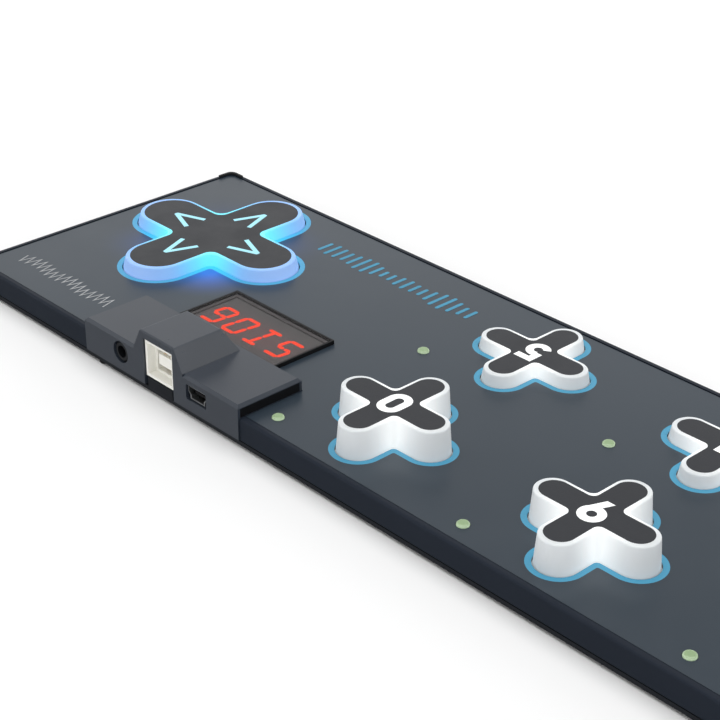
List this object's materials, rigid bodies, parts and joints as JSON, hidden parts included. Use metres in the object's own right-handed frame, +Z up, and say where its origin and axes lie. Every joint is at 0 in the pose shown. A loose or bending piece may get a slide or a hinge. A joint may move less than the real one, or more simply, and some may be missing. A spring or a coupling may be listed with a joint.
{
  "type": "foot controller",
  "caption": "Thin foot-operated music and rhythm controller board with cross-shaped lit keys, a direction pad, a number display and a raised connector housing.",
  "frame": {"origin": "centre of the underside in plan, at the level of the grip strips that rest on the floor", "axes": "+X along the board to the player's right, +Y away from the player to the connector side, +Z up"},
  "size_m": [0.4444, 0.101, 0.0188],
  "materials": {
    "base": "matt, dark",
    "frame": "satin, fine texture",
    "panel": "satin, fine texture",
    "housing": "satin",
    "black_plastic": "satin",
    "outline_blue": "lit edge",
    "key_silicone": "translucent, soft satin",
    "key_black": "matt",
    "nav_silicone": "translucent, lit from inside",
    "chevron_lens": "lit lens",
    "board_green": "solder mask",
    "sensor_carbon": "printed carbon",
    "chip_white": "moulded",
    "chip_black": "moulded",
    "lamp_green": "lens",
    "window_smoke": "smoked",
    "segment_red": "lit",
    "ivory_plastic": "moulded",
    "contact_gold": "plated",
    "shell_metal": "plated",
    "jack_metal": "blackened",
    "pivot_metal": "turned",
    "screw_steel": "blackened",
    "foot_rubber": "matt"
  },
  "bodies": {
    "root": {"base_plate": "base", "board_chips": "chip_black", "connector_housing": "housing", "corner_guards": "foot_rubber", "display_bezel": "black_plastic", "display_module": "black_plastic", "display_segments": "segment_red", "display_window": "window_smoke", "edge_bumpers": "foot_rubber", "end_seals": "black_plastic", "grip_strips": "foot_rubber", "housing_screws": "screw_steel", "jack_body": "black_plastic", "jack_ferrule": "jack_metal", "key_backlights": "chip_white", "key_outlines": "outline_blue", "lamp_chips": "chip_white", "lamp_lenses": "lamp_green", "main_board": "board_green", "mini_core": "black_plastic", "mini_shell": "shell_metal", "nav_guide": "black_plastic", "nav_outline": "outline_blue", "rim_frame": "frame", "sensor_pads": "sensor_carbon", "top_panel": "panel", "tray_screws": "screw_steel", "usb_contacts": "contact_gold", "usb_socket": "ivory_plastic"},
    "key_0_body": {"key_0": "key_silicone", "key_0_cap": "key_black"},
    "key_1_body": {"key_1": "key_silicone", "key_1_cap": "key_black"},
    "key_2_body": {"key_2": "key_silicone", "key_2_cap": "key_black"},
    "key_3_body": {"key_3": "key_silicone", "key_3_cap": "key_black"},
    "key_4_body": {"key_4": "key_silicone", "key_4_cap": "key_black"},
    "key_5_body": {"key_5": "key_silicone", "key_5_cap": "key_black"},
    "key_6_body": {"key_6": "key_silicone", "key_6_cap": "key_black"},
    "key_7_body": {"key_7": "key_silicone", "key_7_cap": "key_black"},
    "key_8_body": {"key_8": "key_silicone", "key_8_cap": "key_black"},
    "key_9_body": {"key_9": "key_silicone", "key_9_cap": "key_black"},
    "nav_post_body": {"nav_post": "pivot_metal"},
    "nav_ball_body": {"nav_ball": "pivot_metal"},
    "nav_pad_body": {"nav_pad": "nav_silicone", "nav_cap": "key_black", "nav_chevrons": "chevron_lens"}
  },
  "joints": [
    {"name": "key_0_press", "type": "slide", "parent": "root", "child": "key_0_body", "axis": [0, 0, -1], "range_m": [0, 0.001], "stiffness_N_per_m": 600, "springref_m": -0.0005},
    {"name": "key_1_press", "type": "slide", "parent": "root", "child": "key_1_body", "axis": [0, 0, -1], "range_m": [0, 0.001], "stiffness_N_per_m": 600, "springref_m": -0.0005},
    {"name": "key_2_press", "type": "slide", "parent": "root", "child": "key_2_body", "axis": [0, 0, -1], "range_m": [0, 0.001], "stiffness_N_per_m": 600, "springref_m": -0.0005},
    {"name": "key_3_press", "type": "slide", "parent": "root", "child": "key_3_body", "axis": [0, 0, -1], "range_m": [0, 0.001], "stiffness_N_per_m": 600, "springref_m": -0.0005},
    {"name": "key_4_press", "type": "slide", "parent": "root", "child": "key_4_body", "axis": [0, 0, -1], "range_m": [0, 0.001], "stiffness_N_per_m": 600, "springref_m": -0.0005},
    {"name": "key_5_press", "type": "slide", "parent": "root", "child": "key_5_body", "axis": [0, 0, -1], "range_m": [0, 0.001], "stiffness_N_per_m": 600, "springref_m": -0.0005},
    {"name": "key_6_press", "type": "slide", "parent": "root", "child": "key_6_body", "axis": [0, 0, -1], "range_m": [0, 0.001], "stiffness_N_per_m": 600, "springref_m": -0.0005},
    {"name": "key_7_press", "type": "slide", "parent": "root", "child": "key_7_body", "axis": [0, 0, -1], "range_m": [0, 0.001], "stiffness_N_per_m": 600, "springref_m": -0.0005},
    {"name": "key_8_press", "type": "slide", "parent": "root", "child": "key_8_body", "axis": [0, 0, -1], "range_m": [0, 0.001], "stiffness_N_per_m": 600, "springref_m": -0.0005},
    {"name": "key_9_press", "type": "slide", "parent": "root", "child": "key_9_body", "axis": [0, 0, -1], "range_m": [0, 0.001], "stiffness_N_per_m": 600, "springref_m": -0.0005},
    {"name": "nav_press", "type": "slide", "parent": "root", "child": "nav_post_body", "axis": [0, 0, -1], "range_m": [0, 0.0005], "stiffness_N_per_m": 1500, "springref_m": -0.0005},
    {"name": "nav_tilt_sideways", "type": "hinge", "parent": "nav_post_body", "child": "nav_ball_body", "pos_m": [0.18225, -0.0113, 0.009], "axis": [0, 1, 0], "range_deg": [-1.8, 1.8], "stiffness_Nm_per_rad": 0.6},
    {"name": "nav_tilt_forward", "type": "hinge", "parent": "nav_ball_body", "child": "nav_pad_body", "pos_m": [0.18225, -0.0113, 0.009], "axis": [1, 0, 0], "range_deg": [-1.8, 1.8], "stiffness_Nm_per_rad": 0.6}
  ]
}
